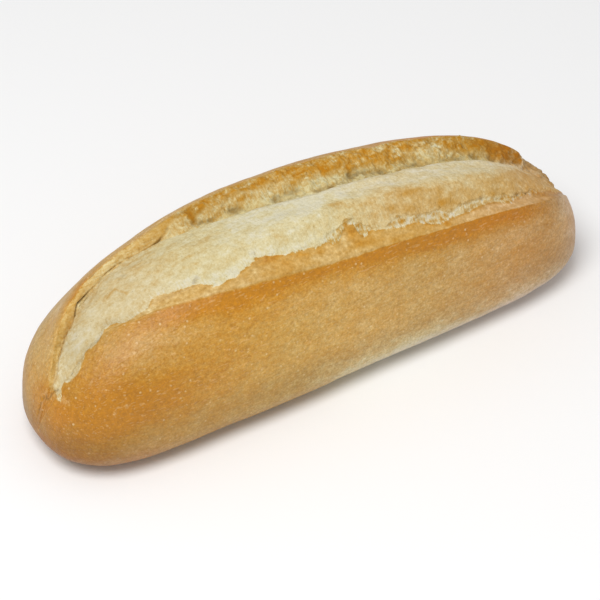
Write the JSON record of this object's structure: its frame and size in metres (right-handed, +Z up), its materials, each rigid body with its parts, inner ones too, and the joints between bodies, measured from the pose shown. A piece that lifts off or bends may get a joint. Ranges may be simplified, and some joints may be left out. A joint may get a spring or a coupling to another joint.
{
  "type": "baguette",
  "caption": "Short baguette, one uncut crusty loaf with a flat sole and a long opened cut down its crown, lying as baked.",
  "frame": {"origin": "centre of the flat sole, under the middle of the loaf's box", "axes": "+X along the loaf, -Y the front with the cut's low lip, +Z up"},
  "size_m": [0.21, 0.0742, 0.0636],
  "materials": {
    "crust": "golden baked crust with pale torn crumb in the cut"
  },
  "bodies": {
    "root": {"loaf": "crust"}
  },
  "joints": []
}
